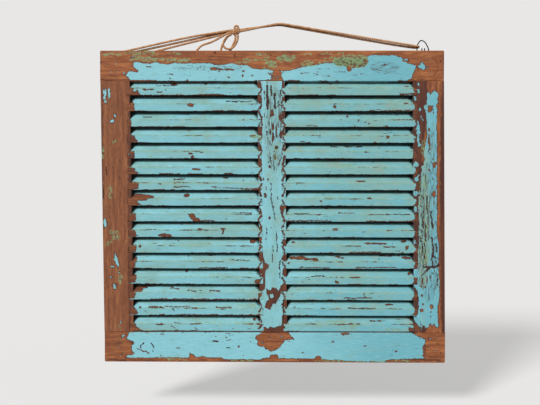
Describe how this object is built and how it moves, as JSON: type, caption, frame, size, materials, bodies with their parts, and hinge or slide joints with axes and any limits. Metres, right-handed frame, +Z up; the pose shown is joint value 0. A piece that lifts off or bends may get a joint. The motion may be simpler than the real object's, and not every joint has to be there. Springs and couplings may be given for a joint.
{
  "type": "louvred shutter panel",
  "caption": "Old louvred wooden shutter panel with fixed slats in a jointed frame, flaking turquoise paint and a twine hanger tied to wire loops.",
  "frame": {"origin": "middle of the bottom rail's lower edge, at mid thickness", "axes": "+X to the right seen from the front, +Y to the back, towards the wall it hangs on, +Z up"},
  "size_m": [0.7752, 0.0466, 0.7683],
  "materials": {
    "painted_timber": "weathered turquoise paint, flaked to brown wood along edges and ends",
    "bare_timber": "bare, dry, reddish brown wood with a few flakes of paint",
    "rusted_nails": "dark rusted iron",
    "black_wire": "black annealed wire",
    "dull_fixings": "dull zinc",
    "jute_twine": "hairy natural jute"
  },
  "bodies": {
    "root": {"top_rail": "painted_timber", "bottom_rail": "painted_timber", "left_stile": "bare_timber", "centre_stile": "painted_timber", "right_stile": "painted_timber", "slat_left_01": "painted_timber", "slat_left_02": "painted_timber", "slat_left_03": "painted_timber", "slat_left_04": "painted_timber", "slat_left_05": "painted_timber", "slat_left_06": "painted_timber", "slat_left_07": "painted_timber", "slat_left_08": "painted_timber", "slat_left_09": "painted_timber", "slat_left_10": "painted_timber", "slat_left_11": "painted_timber", "slat_left_12": "painted_timber", "slat_left_13": "painted_timber", "slat_left_14": "painted_timber", "slat_left_15": "painted_timber", "slat_left_16": "painted_timber", "slat_right_01": "painted_timber", "slat_right_02": "painted_timber", "slat_right_03": "painted_timber", "slat_right_04": "painted_timber", "slat_right_05": "painted_timber", "slat_right_06": "painted_timber", "slat_right_07": "painted_timber", "slat_right_08": "painted_timber", "slat_right_09": "painted_timber", "slat_right_10": "painted_timber", "slat_right_11": "painted_timber", "slat_right_12": "painted_timber", "slat_right_13": "painted_timber", "slat_right_14": "painted_timber", "slat_right_15": "painted_timber", "slat_right_16": "painted_timber", "joint_nails": "rusted_nails", "hanger_wire_left": "black_wire", "hanger_wire_right": "black_wire", "hanger_washers": "dull_fixings", "hanger_screws": "dull_fixings", "twine_right_pair": "jute_twine", "twine_left_pair": "jute_twine", "twine_left_single": "jute_twine", "twine_tail": "jute_twine", "twine_bow": "jute_twine", "twine_end_left": "jute_twine", "twine_end_right": "jute_twine", "twine_knot": "jute_twine"}
  },
  "joints": []
}
